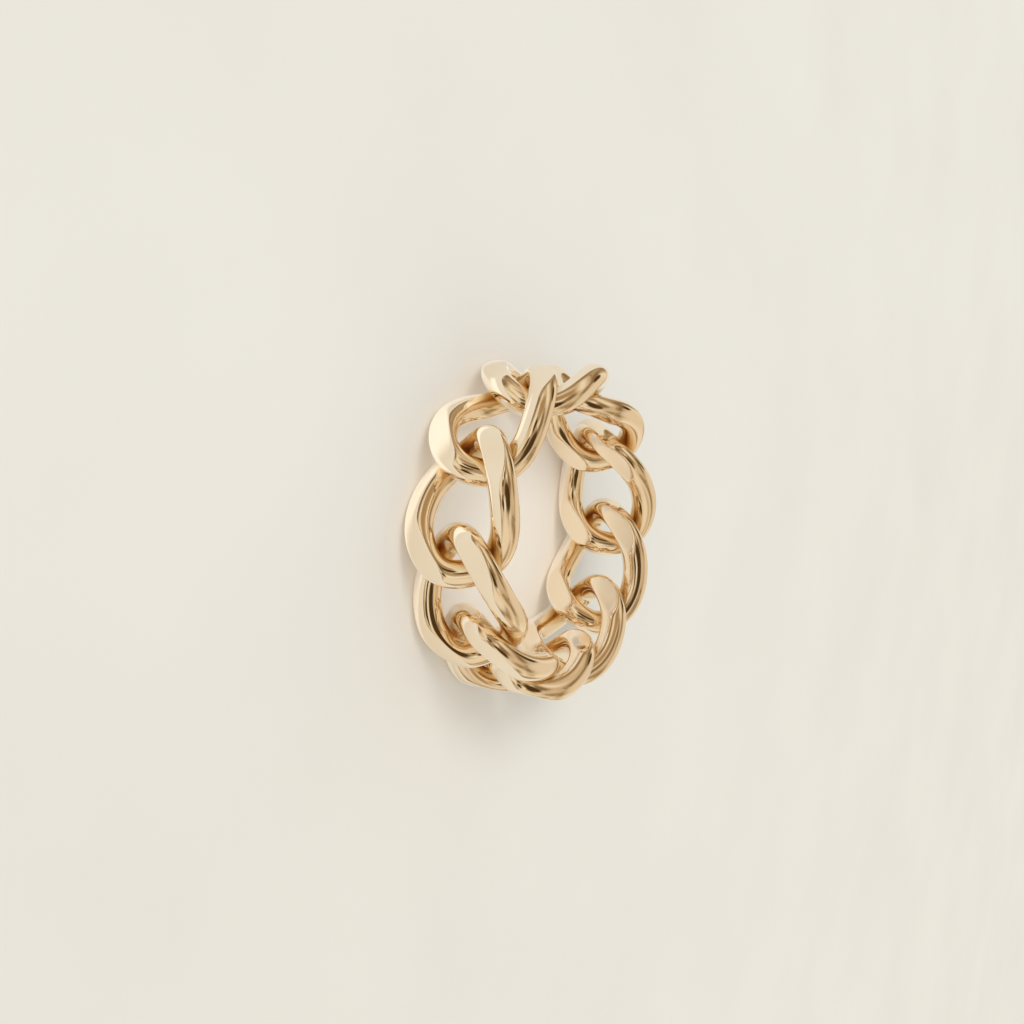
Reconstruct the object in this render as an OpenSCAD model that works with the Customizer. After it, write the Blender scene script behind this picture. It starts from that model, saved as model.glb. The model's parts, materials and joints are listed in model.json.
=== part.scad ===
// Finger ring made of a closed band of curb chain.
// Equal links of round gold wire hook through each other in a circle. Each link is twisted,
// so that one leg stands high at one end and the other leg stands high at the other end,
// and the whole band is filed flat on its outside and on its inside.
// The ring lies on its side: its axis is +Z, and it rests on z = 0.

/* [Ring] */
// Inside diameter of the ring, between the filed faces
finger_d = 16.2; // [15:0.1:21]
// Thickness of the filed band, from the inside to the outside
band_t = 2.85; // [2.2:0.05:3.2]
// Number of links in the band
link_count = 10; // [9:1:12]
// Angle of the first link round the ring, from +X
first_link = 14; // [0:1:35]
// How far the links are pushed towards the -Y side, where they stand closest, in degrees
crowding = 5; // [0:0.5:6]

/* [Links] */
// Diameter of the wire
wire_d = 1.75; // [1.4:0.05:2]
// Outside width of a link, across the band
link_w = 7.4; // [6.8:0.1:8.5]
// Squareness of a link's outline, where 2 is an ellipse
squareness = 2.3; // [2:0.1:2.8]

/* [Clearances] */
// Gap between the ends of two links, where they pull on each other
end_gap = 0.1; // [0.05:0.05:0.3]
// Gap between the legs of two links, where they cross
leg_gap = 0.12; // [0.05:0.01:0.3]

/* [Hidden] */
// Sections along a link, a multiple of 4 so that its widest places are met
stations = 44;
// Points along each rounded side of the wire, an odd number so that its widest place is met
side_points = 5;
// Half angle of the narrowest flat, where the file doesn't reach the wire
least_flat = 12;

wire_r = wire_d/2;
inner_r = finger_d/2;
outer_r = inner_r + band_t;
// The links' middle line follows a circle halfway through the band
chain_r = (inner_r + outer_r)/2;
deg_per_mm = 180/(PI*chain_r);

// Links are pushed round the ring, the most at its +X and -X sides
function link_angle(i) =
    let (even = first_link + 360*i/link_count)
    even - crowding*cos(even);

steps_apart = [for (i = [0:link_count - 1]) link_angle(i + 1) - link_angle(i)];
widest_step = max(steps_apart)/deg_per_mm;

// Half the length and half the width of the wire's middle line
half_len = (widest_step + wire_d + end_gap)/2;
half_wid = (link_w - wire_d)/2;

// Half the width of the middle line at a distance u from the link's middle
function half_wid_at(u) = half_wid*pow(1 - pow(abs(u)/half_len, squareness), 1/squareness);

// The legs of two links cross midway between their middles, one wire and a gap apart
cross_u = widest_step/2;
cross_tilt = asin((wire_d + leg_gap)/(2*half_wid_at(cross_u)));
function tilt(u) = -cross_tilt*u/cross_u;

// Point of the middle line, for t from 0 to 360: along the band, across it, and outwards
function flat_point(t) =
    let (
        u = half_len*sign(cos(t))*pow(abs(cos(t)), 2/squareness),
        w = half_wid*sign(sin(t))*pow(abs(sin(t)), 2/squareness)
    )
    [u, w*cos(tilt(u)), w*sin(tilt(u))];

// The same point with the band bent round the ring
function bend(p) =
    let (rho = chain_r + p.z, a = p.x*deg_per_mm)
    [rho*cos(a), rho*sin(a), p.y];

function unit(v) = v/norm(v);
function radius_of(p) = norm([p.x, p.y]);

middle_line = [for (k = [0:stations - 1]) bend(flat_point(360*k/stations))];

// The file takes away what stands outside the outer radius or inside the inner radius
function filed(p) =
    let (keep = min(max(radius_of(p), inner_r), outer_r)/radius_of(p))
    [p.x*keep, p.y*keep, p.z];

// Half angle of the flat that a cut at this distance from the wire's middle leaves
function half_flat(cut) = acos(min(cut/wire_r, cos(least_flat)));

// Angles round the wire: down one side from the outer flat to the inner one, and up the other side
function section_angles(outer, inner) =
    let (turn = (180 - outer - inner)/(side_points + 1))
    concat(
        [for (j = [0:side_points + 1]) outer + j*turn],
        [for (j = [0:side_points + 1]) 180 + inner + j*turn]
    );

// Points of the wire's section at station k, square to the middle line
function section(k) =
    let (
        p = middle_line[k],
        ahead = middle_line[(k + 1) % stations],
        behind = middle_line[(k + stations - 1) % stations],
        along = unit(ahead - behind),
        up = unit([p.x, p.y, 0]),
        out = unit(up - (up*along)*along),
        side = cross(along, out),
        lean = up*out,
        outer = half_flat((outer_r - radius_of(p))/lean),
        inner = half_flat((radius_of(p) - inner_r)/lean)
    )
    [for (a = section_angles(outer, inner)) filed(p + wire_r*(cos(a)*out + sin(a)*side))];

section_points = 2*side_points + 4;
link_points = [for (k = [0:stations - 1], p = section(k)) p];

// Number of a point in that list, counted round the loop and round the wire
function nr(k, j) = (k % stations)*section_points + j % section_points;

link_faces = [
    for (k = [0:stations - 1], j = [0:section_points - 1], half = [0, 1])
        half == 0
            ? [nr(k, j), nr(k + 1, j), nr(k + 1, j + 1)]
            : [nr(k, j), nr(k + 1, j + 1), nr(k, j + 1)]
];

// One name for each link, counted round the ring

module link(i) {
    color("#e6c692")
    translate([0, 0, link_w/2])
    rotate([0, 0, link_angle(i)])
    polyhedron(points = link_points, faces = link_faces, convexity = 6);
}

for (i = [0:link_count - 1])
    link(i);
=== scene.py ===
# %% [markdown]
# A chain link ring in polished yellow gold
#
# The real ring is a closed band of curb chain: ten loops of round gold wire, each twisted
# and hooked through the next, and then filed flat on the outside and on the inside of the band.
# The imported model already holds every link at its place, so this script only gives each link
# a finer surface, the gold, the light and the camera. The ring lies on its side on a pale floor.

# %% Load the frame
import json
import math

import bmesh
import bpy
import numpy as np
from mathutils import Matrix, Vector


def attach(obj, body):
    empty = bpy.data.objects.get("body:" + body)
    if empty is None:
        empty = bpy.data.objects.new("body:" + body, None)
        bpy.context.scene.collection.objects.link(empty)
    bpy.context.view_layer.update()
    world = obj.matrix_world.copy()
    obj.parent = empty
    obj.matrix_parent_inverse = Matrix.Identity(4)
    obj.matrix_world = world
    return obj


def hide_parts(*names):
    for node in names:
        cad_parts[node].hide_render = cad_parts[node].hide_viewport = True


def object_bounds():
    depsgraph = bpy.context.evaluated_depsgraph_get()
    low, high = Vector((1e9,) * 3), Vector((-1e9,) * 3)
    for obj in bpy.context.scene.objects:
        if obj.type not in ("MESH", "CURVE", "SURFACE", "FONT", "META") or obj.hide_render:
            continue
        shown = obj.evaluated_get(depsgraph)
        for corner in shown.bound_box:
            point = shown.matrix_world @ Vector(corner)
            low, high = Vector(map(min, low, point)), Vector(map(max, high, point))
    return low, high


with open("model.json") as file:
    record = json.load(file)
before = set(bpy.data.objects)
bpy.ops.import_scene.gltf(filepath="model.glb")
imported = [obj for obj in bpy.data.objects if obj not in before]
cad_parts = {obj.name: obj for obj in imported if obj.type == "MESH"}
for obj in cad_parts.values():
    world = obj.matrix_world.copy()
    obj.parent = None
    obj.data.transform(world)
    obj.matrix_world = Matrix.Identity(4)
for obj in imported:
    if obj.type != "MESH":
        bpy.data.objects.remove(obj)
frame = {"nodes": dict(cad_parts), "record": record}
cad_low, cad_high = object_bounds()
record = frame["record"]
link_names = sorted(frame["nodes"])
print("links in the frame:", len(link_names))

# %% [markdown]
# Sizes
#
# Blender works in metres, so each millimetre size is multiplied by MM. The band's two radii,
# its width and the links' places are read from the frame. What the frame doesn't say, such as
# the wire's diameter, is written here once, with the value that the links were built to.

# %% Sizes of the band and its links
MM = 0.001

finger_hole = next(m for m in record["mounts"] if m["name"] == "finger_hole")
inner_r = finger_hole["dims"]["r_mm"] * MM
outer_r = (cad_high[0] - cad_low[0]) / 2
band_w = cad_high[2] - cad_low[2]
chain_r = (inner_r + outer_r) / 2
wire_d = 1.75 * MM
wire_r = wire_d / 2
end_gap = 0.1 * MM
leg_gap = 0.12 * MM
squareness = 2.3


def link_angle(name):
    """Angle of a link round the ring, from the middle of its solid's points."""
    points = np.array([v.co for v in frame["nodes"][name].data.vertices])
    x, y, _ = points.mean(axis=0)
    return math.atan2(y, x)


angles = {name: link_angle(name) for name in link_names}
in_order = sorted(angles.values())
steps_apart = [b - a for a, b in zip(in_order, in_order[1:] + [in_order[0] + math.tau])]
widest_step = max(steps_apart) * chain_r
half_len = (widest_step + wire_d + end_gap) / 2
half_wid = band_w / 2 - wire_r
print("inside diameter %.2f mm, outside %.2f mm" % (2 * inner_r / MM, 2 * outer_r / MM))
print("link %.2f mm long, %.2f mm wide" % ((2 * half_len + wire_d) / MM, band_w / MM))

# %% [markdown]
# The line that the wire follows
#
# A curb link starts as an oval loop. Then its two ends are twisted against each other, so each leg
# climbs from the inside of the band to the outside. A spline drawn by hand could follow that, but
# the oval and the twist are simple formulas, so the line is worked out: an oval that is a little
# squarer than an ellipse, a twist that grows along the link, and a bend round the ring.


# %% The middle line of a link
def half_wid_at(u):
    return half_wid * (1 - (abs(u) / half_len) ** squareness) ** (1 / squareness)


cross_u = widest_step / 2
cross_tilt = math.asin((wire_d + leg_gap) / (2 * half_wid_at(cross_u)))


def signed_power(x):
    return math.copysign(abs(x) ** (2 / squareness), x)


def middle_point(t):
    """Point of the wire's middle line, for t from 0 to one whole turn."""
    u = half_len * signed_power(math.cos(t))
    w = half_wid * signed_power(math.sin(t))
    tilt = -cross_tilt * u / cross_u
    rho = chain_r + w * math.sin(tilt)
    turn = u / chain_r
    return Vector((rho * math.cos(turn), rho * math.sin(turn), w * math.cos(tilt)))


# %% [markdown]
# The wire's section, filed flat
#
# A file or a lathe takes away all metal that stands outside one radius or inside another.
# A Boolean with a turned band would cut the same flats, but its edges come out ragged, and a
# mirror-like metal shows every ragged edge. So the points of a plain round section are pulled back
# to the two filed radii instead. The passage between a flat and the round side is eased over a few
# hundredths of a millimetre, as polishing leaves it, so that each flat gets a fine bright or dark
# line along its edge.

# %% Points round the wire at one place
STATIONS = 192
SECTION_POINTS = 96
EASE = 0.05 * MM
WELD = 0.001 * MM


def eased_min(a, b):
    """The smaller of two radii, with a soft passage between them."""
    return -EASE * np.logaddexp(-a / EASE, -b / EASE)


def filed(point):
    """The point, moved in or out along its radius to stay between the two filed radii."""
    rho = math.hypot(point.x, point.y)
    keep = eased_min(rho, outer_r)
    keep = -eased_min(-keep, -inner_r)
    return Vector((point.x * keep / rho, point.y * keep / rho, point.z))


def section(k):
    """Points of the wire's section at station k, square to the middle line."""
    step = math.tau / STATIONS
    p = middle_point(k * step)
    along = (middle_point((k + 0.5) * step) - middle_point((k - 0.5) * step)).normalized()
    up = Vector((p.x, p.y, 0)).normalized()
    out = (up - up.dot(along) * along).normalized()
    side = along.cross(out)
    turns = [math.tau * j / SECTION_POINTS for j in range(SECTION_POINTS)]
    return [filed(p + wire_r * (math.cos(a) * out + math.sin(a) * side)) for a in turns]


# %% [markdown]
# One link
#
# A plain grid is rolled up round the wire and along the loop: each of its points goes to the
# place that its row and column stand for. The first and last rows then lie on each other, and
# so do the columns, and remove_doubles welds them, which closes the surface with no seam.


# %% Make the link's mesh
def make_link_mesh():
    rings = [section(k) for k in range(STATIONS)]
    sheet = bmesh.new()
    bmesh.ops.create_grid(sheet, x_segments=STATIONS, y_segments=SECTION_POINTS, size=0.5)
    for v in sheet.verts:
        k = round((v.co.x + 0.5) * STATIONS) % STATIONS
        j = round((v.co.y + 0.5) * SECTION_POINTS) % SECTION_POINTS
        v.co = rings[k][j]
    bmesh.ops.remove_doubles(sheet, verts=sheet.verts, dist=WELD)
    bmesh.ops.recalc_face_normals(sheet, faces=sheet.faces)
    for face in sheet.faces:
        face.smooth = True
    open_edges = sum(1 for e in sheet.edges if not e.is_manifold)
    print("one link:", len(sheet.faces), "faces, open edges:", open_edges)
    mesh = bpy.data.meshes.new("link")
    sheet.to_mesh(mesh)
    sheet.free()
    return mesh


link_mesh = make_link_mesh()

# %% [markdown]
# Painted shade in the hollows between links
#
# Where a link's wire lies close to the next link's, the gold is painted browner, as shade,
# and made duller. An Ambient Occlusion node could find such places while rendering, but it costs
# many rays, so the share is worked out once and kept with each mesh as an attribute. It is large
# where a neighbour's wire takes up much of the view from a point.

# %% Share of hollow at each point
WIRE_STEPS = 96

wire_line = [middle_point(math.tau * k / WIRE_STEPS) for k in range(WIRE_STEPS)]
link_points = np.array([v.co for v in link_mesh.vertices])
link_normals = np.array([v.normal for v in link_mesh.vertices])


def hollow_shares(turns):
    """Share of the view from each point of a link that its neighbours' wires take up."""
    shares = np.zeros(len(link_points))
    for turn in turns:
        for middle in wire_line:
            away = np.array(Matrix.Rotation(turn, 3, "Z") @ middle) - link_points
            reach = np.linalg.norm(away, axis=1)
            facing = (away * link_normals).sum(axis=1) / reach
            shares = np.maximum(shares, facing * (wire_r / reach) ** 2)
    return shares


# %% [markdown]
# Short names for node work
#
# A material is a tree of nodes, and making each node and each link by hand takes several lines.
# Four helpers keep that short: node makes one node with its settings, ramp runs through colours,
# paint lays one colour over another, and soft_range turns a value into a share with soft ends.


# %% Helpers for node trees
def node(tree, kind, **settings):
    made = tree.nodes.new(kind)
    for key, value in settings.items():
        if key in made.inputs:
            made.inputs[key].default_value = value
        else:
            setattr(made, key, value)
    return made


def ramp(tree, factor, stops):
    """Colour that runs through the stops, each a place from 0 to 1 and a colour."""
    made = node(tree, "ShaderNodeValToRGB")
    elements = made.color_ramp.elements
    while len(elements) < len(stops):
        elements.new(0.5)
    for element, (place, colour) in zip(elements, stops):
        element.position = place
        element.color = (*colour, 1)
    tree.links.new(factor, made.inputs["Fac"])
    return made.outputs["Color"]


def paint(tree, under, share, over):
    """Lays a colour over what is under it, by a share."""
    mix = node(tree, "ShaderNodeMix", data_type="RGBA")
    tree.links.new(share, mix.inputs["Factor"])
    for socket, colour in zip((mix.inputs["A"], mix.inputs["B"]), (under, over)):
        if isinstance(colour, tuple):
            socket.default_value = (*colour, 1)
        else:
            tree.links.new(colour, socket)
    return mix.outputs["Result"]


def soft_range(tree, value, none, full):
    """Share that runs smoothly from 0, where the value is none, to 1, where it is full."""
    ends = {"From Min": none, "From Max": full}
    share = node(tree, "ShaderNodeMapRange", interpolation_type="SMOOTHSTEP", **ends)
    tree.links.new(value, share.inputs["Value"])
    return share.outputs["Result"]


# %% [markdown]
# The gold
#
# Yellow gold of 14 carats is a pale, warm metal. Nearly all of its look is reflection, and where
# one gold surface mirrors another, the light is tinted twice and turns orange, which needs no
# paint. The surface isn't perfect: the polish leaves faint waves and cloudy places. The clouds are
# noise in the roughness, and the waves are a very low bump. In the hollows, by the attribute, the
# gold is painted browner as shade and made duller.


# %% Gold material
GOLD_DEEP = (0.970, 0.830, 0.640)
GOLD_PALE = (0.985, 0.865, 0.685)
# Painted shade: the browner gold laid on the hollows between links
GOLD_PAINTED_SHADE_IN_HOLLOWS = (0.800, 0.605, 0.345)
HOLLOW_FROM, HOLLOW_TO = 0.12, 0.50
POLISH_BEST, POLISH_CLOUDY, POLISH_LOST_IN_HOLLOWS = 0.05, 0.12, 0.15
WAVE_HEIGHT = 0.1 * MM
# Most of a noise lies between these
NOISE_LOW, NOISE_HIGH = 0.3, 0.7


def gold_colour(tree, point, hollow):
    tint = node(tree, "ShaderNodeTexNoise", Scale=260.0, Detail=3.0)
    tree.links.new(point, tint.inputs["Vector"])
    colour = ramp(tree, tint.outputs["Fac"], ((0.35, GOLD_DEEP), (0.65, GOLD_PALE)))
    # Paints the hollows a browner gold, as shade between the links
    return paint(tree, colour, hollow, GOLD_PAINTED_SHADE_IN_HOLLOWS)


def gold_roughness(tree, point, hollow):
    """Roughness that varies in clouds and grows in the hollows."""
    noise_ends = {"From Min": NOISE_LOW, "From Max": NOISE_HIGH}
    polish_ends = {"To Min": POLISH_BEST, "To Max": POLISH_CLOUDY}
    cloud = node(tree, "ShaderNodeTexNoise", Scale=700.0, Detail=6.0, Roughness=0.6)
    polish = node(tree, "ShaderNodeMapRange", **noise_ends, **polish_ends)
    roughness = node(tree, "ShaderNodeMath", operation="MULTIPLY_ADD")
    roughness.inputs[1].default_value = POLISH_LOST_IN_HOLLOWS
    tree.links.new(point, cloud.inputs["Vector"])
    tree.links.new(cloud.outputs["Fac"], polish.inputs["Value"])
    tree.links.new(hollow, roughness.inputs[0])
    tree.links.new(polish.outputs["Result"], roughness.inputs[2])
    return roughness.outputs["Value"]


def gold_waves(tree, point):
    """Normal that follows the faint waves of the polish."""
    wave = node(tree, "ShaderNodeTexNoise", Scale=420.0, Detail=2.0)
    bump = node(tree, "ShaderNodeBump", Strength=0.15, Distance=WAVE_HEIGHT)
    tree.links.new(point, wave.inputs["Vector"])
    tree.links.new(wave.outputs["Fac"], bump.inputs["Height"])
    return bump.outputs["Normal"]


def make_gold():
    gold = bpy.data.materials.new("polished_gold")
    gold.use_nodes = True
    tree = gold.node_tree
    shader = tree.nodes["Principled BSDF"]
    shader.inputs["Metallic"].default_value = 1.0
    point = node(tree, "ShaderNodeTexCoord").outputs["Object"]
    share = node(tree, "ShaderNodeAttribute", attribute_name="hollow").outputs["Fac"]
    hollow = soft_range(tree, share, HOLLOW_FROM, HOLLOW_TO)
    tree.links.new(gold_colour(tree, point, hollow), shader.inputs["Base Color"])
    tree.links.new(gold_roughness(tree, point, hollow), shader.inputs["Roughness"])
    tree.links.new(gold_waves(tree, point), shader.inputs["Normal"])
    return gold


gold = make_gold()

# %% [markdown]
# Ten links round the ring
#
# All links have one shape, so the mesh is copied and turned to each link's angle. The turn goes
# into the mesh and not into the object, so the gold's pattern differs from link to link.

# %% Place the links
for i, name in enumerate(link_names):
    neighbours = link_names[i - 1], link_names[(i + 1) % len(link_names)]
    shares = hollow_shares([angles[other] - angles[name] for other in neighbours])
    mesh = link_mesh.copy()
    mesh.attributes.new("hollow", "FLOAT", "POINT").data.foreach_set("value", shares)
    mesh.transform(Matrix.Translation((0, 0, band_w / 2)) @ Matrix.Rotation(angles[name], 4, "Z"))
    mesh.materials.append(gold)
    link = bpy.data.objects.new(name + "_polished", mesh)
    bpy.context.scene.collection.objects.link(link)
    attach(link, "root")
    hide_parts(name)
    print(name, "lies %.0f %% in hollows" % (100 * (shares > HOLLOW_FROM).mean()))
bpy.data.meshes.remove(link_mesh)

# %% [markdown]
# The light on the floor
#
# Polished gold throws warm light back onto whatever lies inside the ring. Tracing that light would
# take very many samples, so the floor glows softly inside the ring instead. A photographer would
# also set strips of light beside the ring, to draw white edges along its links, and see that some
# of their light reaches under the band. Here the floor itself plays them, as soft ellipses and a
# ring of light. These show in the gold's reflections alone, because a ray that has met anything
# dull on its way has a Diffuse Depth and doesn't see them.


# %% Glow and strips of light
DARK = (0.0, 0.0, 0.0)
GLOW = (0.150, 0.122, 0.094)
LIGHT_UNDER_BAND = (0.21, 0.24, 0.28)
STRIP_LIGHT = (0.34, 0.36, 0.40)
STRIP_ENDS, STRIP_IS_FULL = 1.3, 0.7
# Middle x and y, half width, half length, all in mm, and turn in degrees
STRIPS = ((-8.7, 7.0, 2.6, 7.5, -15), (4.0, 9.0, 2.0, 2.0, 0))


def distance(tree, point):
    """Distance of a point from the middle of its own coordinates."""
    away = node(tree, "ShaderNodeVectorMath", operation="LENGTH")
    tree.links.new(point, away.inputs[0])
    return away.outputs["Value"]


def floor_light(tree, point):
    """Colour of the light that the floor gives off at a point."""
    away = distance(tree, point)
    glow = paint(tree, DARK, soft_range(tree, away, outer_r + MM, inner_r), GLOW)
    lit = paint(tree, DARK, soft_range(tree, away, outer_r + MM, outer_r), LIGHT_UNDER_BAND)
    lit = paint(tree, lit, soft_range(tree, away, inner_r, inner_r - MM), GLOW)
    for x, y, half_width, half_length, turn in STRIPS:
        strip = node(tree, "ShaderNodeMapping", vector_type="TEXTURE")
        strip.inputs["Location"].default_value = (x * MM, y * MM, 0)
        strip.inputs["Rotation"].default_value = (0, 0, math.radians(turn))
        strip.inputs["Scale"].default_value = (half_width * MM, half_length * MM, 1)
        tree.links.new(point, strip.inputs["Vector"])
        from_middle = distance(tree, strip.outputs["Vector"])
        in_strip = soft_range(tree, from_middle, STRIP_ENDS, STRIP_IS_FULL)
        lit = paint(tree, lit, in_strip, STRIP_LIGHT)
    path = node(tree, "ShaderNodeLightPath")
    mirrored = node(tree, "ShaderNodeMath", operation="SUBTRACT", use_clamp=True)
    tree.links.new(path.outputs["Is Glossy Ray"], mirrored.inputs[0])
    tree.links.new(path.outputs["Diffuse Depth"], mirrored.inputs[1])
    return paint(tree, glow, mirrored.outputs["Value"], lit)


# %% [markdown]
# The floor
#
# A plain pale floor, wide enough to fill the view, a little cloudy, and slightly warmer on the
# ring's -Y side. The filed faces mirror it, so it is what gives them their cream colour.


# %% Floor
FAR_PAPER = ((NOISE_LOW, (0.855, 0.840, 0.815)), (NOISE_HIGH, (0.885, 0.873, 0.848)))
NEAR_PAPER = ((NOISE_LOW, (0.855, 0.828, 0.788)), (NOISE_HIGH, (0.885, 0.862, 0.820)))
CHANGE_AT = 14 * MM
FLOOR_HALF = 1.5


def make_floor():
    sheet = bmesh.new()
    bmesh.ops.create_grid(sheet, x_segments=1, y_segments=1, size=FLOOR_HALF)
    mesh = bpy.data.meshes.new("floor")
    sheet.to_mesh(mesh)
    sheet.free()
    paper = bpy.data.materials.new("pale_floor")
    paper.use_nodes = True
    tree = paper.node_tree
    shader = tree.nodes["Principled BSDF"]
    shader.inputs["Roughness"].default_value = 0.9
    shader.inputs["Specular IOR Level"].default_value = 0.0
    point = node(tree, "ShaderNodeTexCoord").outputs["Object"]
    grain = node(tree, "ShaderNodeTexNoise", Scale=40.0, Detail=5.0)
    across = node(tree, "ShaderNodeSeparateXYZ")
    tree.links.new(point, grain.inputs["Vector"])
    tree.links.new(point, across.inputs["Vector"])
    near = ramp(tree, grain.outputs["Fac"], NEAR_PAPER)
    far = ramp(tree, grain.outputs["Fac"], FAR_PAPER)
    share = soft_range(tree, across.outputs["Y"], -CHANGE_AT, CHANGE_AT)
    tree.links.new(paint(tree, near, share, far), shader.inputs["Base Color"])
    tree.links.new(floor_light(tree, point), shader.inputs["Emission Color"])
    shader.inputs["Emission Strength"].default_value = 1.0
    mesh.materials.append(paper)
    floor = bpy.data.objects.new("floor", mesh)
    bpy.context.scene.collection.objects.link(floor)


make_floor()

# %% [markdown]
# The camera
#
# The photograph looks at the ring from 60 degrees to the side of its axis and 11 degrees above the
# level of its middle, with the ring upright. Here the ring lies on its side, so the camera keeps
# the same angle to the ring and is rolled until the ring's +Y side is at the top of the picture.

# %% Camera
AROUND = math.radians(60.0)
ABOVE = math.radians(10.7)
DISTANCE = 86.6 * MM
LENS = 46.3
SHIFT = (-0.0280, 0.0154)

ring_middle = Vector((0, 0, band_w / 2))
towards_camera = Vector((
    -math.cos(ABOVE) * math.sin(AROUND),
    math.sin(ABOVE),
    math.cos(ABOVE) * math.cos(AROUND),
))
camera_right = Vector((math.cos(AROUND), 0, math.sin(AROUND)))
camera_up = towards_camera.cross(camera_right)

camera_data = bpy.data.cameras.new("camera")
camera_data.lens = LENS
camera_data.shift_x, camera_data.shift_y = SHIFT
camera_data.clip_start = 5 * MM
camera = bpy.data.objects.new("camera", camera_data)
bpy.context.scene.collection.objects.link(camera)
turned = Matrix((camera_right, camera_up, towards_camera)).transposed()
camera.matrix_world = Matrix.Translation(ring_middle + DISTANCE * towards_camera) @ turned.to_4x4()
bpy.context.scene.camera = camera
print("camera is %.0f degrees above the floor" % math.degrees(math.asin(towards_camera.z)))

# %% [markdown]
# The light
#
# Polished gold shows the room more than itself. The room is a warm beige with a few cards and
# unlit openings. Thin dark lines run through it as edges of furniture would, and these and the
# openings make the brown streaks along the wire. Modelled walls would do it too, but a room painted
# on the world's sphere by direction needs no mesh and renders faster. Only the gold mirrors the
# room: the floor gets an even daylight, and the camera sees a plain pale backdrop.

# %% Room painted by direction
BACKDROP = (0.83, 0.82, 0.75)
DAYLIGHT = (0.65, 0.64, 0.60)
WALLS = (
    (0.34, (0.25, 0.16, 0.075)),
    (0.44, (0.47, 0.35, 0.21)),
    (0.46, (0.14, 0.08, 0.03)),
    (0.48, (0.53, 0.405, 0.25)),
    (0.60, (0.63, 0.495, 0.33)),
    (0.72, (0.86, 0.76, 0.60)),
)
FAR_END = (
    (0.36, (0.24, 0.15, 0.065)),
    (0.43, (0.47, 0.35, 0.205)),
    (0.475, (0.55, 0.425, 0.27)),
    (0.49, (0.12, 0.07, 0.03)),
    (0.505, (0.57, 0.445, 0.28)),
    (0.53, (0.61, 0.475, 0.31)),
    (0.60, (0.88, 0.78, 0.62)),
)
FAR_END_AT = (14, 2, 20, 50)
# Turn and rise from the camera, where a card is whole and where it is gone, in degrees, and colour
CARDS = (
    (12, -58, 14, 34, (0.82, 0.71, 0.55)),
    (118, -8, 12, 34, (0.76, 0.64, 0.48)),
    (37, 38, 10, 22, (0.40, 0.26, 0.13)),
)
UNLIT = (0.07, 0.037, 0.011)
# Turn, rise and radius in degrees, and the shares of the radius where the edge begins and ends
UNLIT_OPENINGS = ((33, -9, 20), (-5, -20, 9), (3, 7, 7), (17, 23, 8), (114, 21, 8))
OPENING_EDGE = (0.7, 1.2)
UNEVEN = 0.25
MIRROR_BOUNCES = 12


def from_camera(turn, rise):
    """Direction turned so many degrees to the right of the camera and raised so many degrees."""
    turn, rise = math.radians(turn), math.radians(rise)
    level = math.cos(turn) * towards_camera + math.sin(turn) * camera_right
    return math.cos(rise) * level + math.sin(rise) * camera_up


def patch(tree, direction, middle, full, none):
    """Round patch of the room: whole within full degrees of its middle, gone past none degrees."""
    dot = node(tree, "ShaderNodeVectorMath", operation="DOT_PRODUCT")
    dot.inputs[1].default_value = middle
    tree.links.new(direction, dot.inputs[0])
    full, none = math.cos(math.radians(full)), math.cos(math.radians(none))
    return soft_range(tree, dot.outputs["Value"], none, full)


def wavy_direction(tree, place):
    """Direction pushed about a little, so that nothing in the room has a perfectly round edge."""
    uneven = node(tree, "ShaderNodeTexNoise", Scale=4.0, Detail=2.0)
    centred = node(tree, "ShaderNodeVectorMath", operation="SUBTRACT")
    centred.inputs[1].default_value = (0.5, 0.5, 0.5)
    shifted = node(tree, "ShaderNodeVectorMath", operation="MULTIPLY_ADD")
    shifted.inputs[1].default_value = (UNEVEN, UNEVEN, UNEVEN)
    direction = node(tree, "ShaderNodeVectorMath", operation="NORMALIZE")
    tree.links.new(place, uneven.inputs["Vector"])
    tree.links.new(uneven.outputs["Color"], centred.inputs[0])
    tree.links.new(centred.outputs["Vector"], shifted.inputs[0])
    tree.links.new(place, shifted.inputs[2])
    tree.links.new(shifted.outputs["Vector"], direction.inputs[0])
    return direction.outputs["Vector"]


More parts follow.
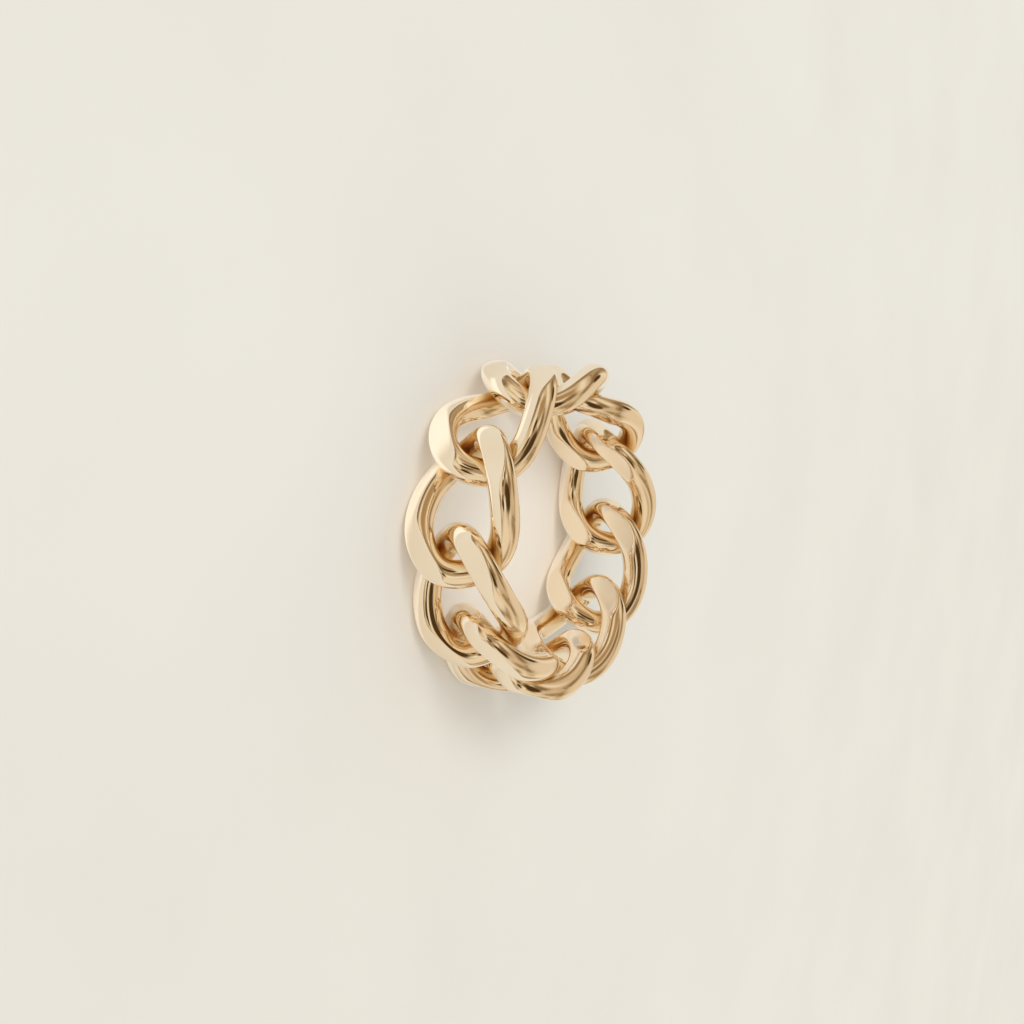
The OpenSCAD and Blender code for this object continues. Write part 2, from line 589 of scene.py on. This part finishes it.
def make_room():
    world = bpy.data.worlds.new("studio")
    bpy.context.scene.world = world
    world.use_nodes = True
    tree = world.node_tree
    place = node(tree, "ShaderNodeTexCoord").outputs["Generated"]
    direction = wavy_direction(tree, place)
    clutter = node(tree, "ShaderNodeTexNoise", Scale=2.0, Detail=0.0, Distortion=0.3)
    tree.links.new(place, clutter.inputs["Vector"])
    walls = ramp(tree, clutter.outputs["Fac"], WALLS)
    far_end = ramp(tree, clutter.outputs["Fac"], FAR_END)
    turn, rise, full, none = FAR_END_AT
    at_far_end = patch(tree, direction, from_camera(turn, rise), full, none)
    colour = paint(tree, walls, at_far_end, far_end)
    for turn, rise, full, none, card in CARDS:
        beside = patch(tree, direction, from_camera(turn, rise), full, none)
        colour = paint(tree, colour, beside, card)
    for turn, rise, radius in UNLIT_OPENINGS:
        begins, ends = (radius * share for share in OPENING_EDGE)
        opening = patch(tree, direction, from_camera(turn, rise), begins, ends)
        colour = paint(tree, colour, opening, UNLIT)
    seen = node(tree, "ShaderNodeLightPath")
    colour = paint(tree, DAYLIGHT, seen.outputs["Is Glossy Ray"], colour)
    colour = paint(tree, colour, seen.outputs["Is Camera Ray"], BACKDROP)
    tree.links.new(colour, tree.nodes["Background"].inputs["Color"])


make_room()
bpy.context.scene.view_settings.view_transform = "Standard"
bpy.context.scene.cycles.glossy_bounces = MIRROR_BOUNCES

# %% [markdown]
# The lamps
#
# Two wide soft lamps stand to the upper left. The higher one gives the ring its soft shadow, and
# the lower one fills it. Suns with a wide angle are used, because their light is as even far from
# the ring as near it. The gold doesn't mirror them: a round lamp in every curve of the wire would
# look like a row of beads.


# %% Lamps
LAMP_COLOUR = (1.0, 0.98, 0.92)
LAMP_AWAY = 0.3


def make_lamp(name, direction, spread, power):
    """Even light from one direction, as soft as a panel that spans so many degrees."""
    data = bpy.data.lights.new(name, "SUN")
    data.angle = math.radians(spread)
    data.energy = power
    data.color = LAMP_COLOUR
    lamp = bpy.data.objects.new(name, data)
    bpy.context.scene.collection.objects.link(lamp)
    lamp.location = ring_middle + LAMP_AWAY * direction.normalized()
    lamp.rotation_euler = direction.to_track_quat("Z", "Y").to_euler()
    lamp.visible_glossy = False


make_lamp("key_lamp", Vector((-0.35, 0.6, 0.75)), 25, 0.75)
make_lamp("fill_lamp", Vector((-0.8, 0.25, 0.5)), 40, 0.75)
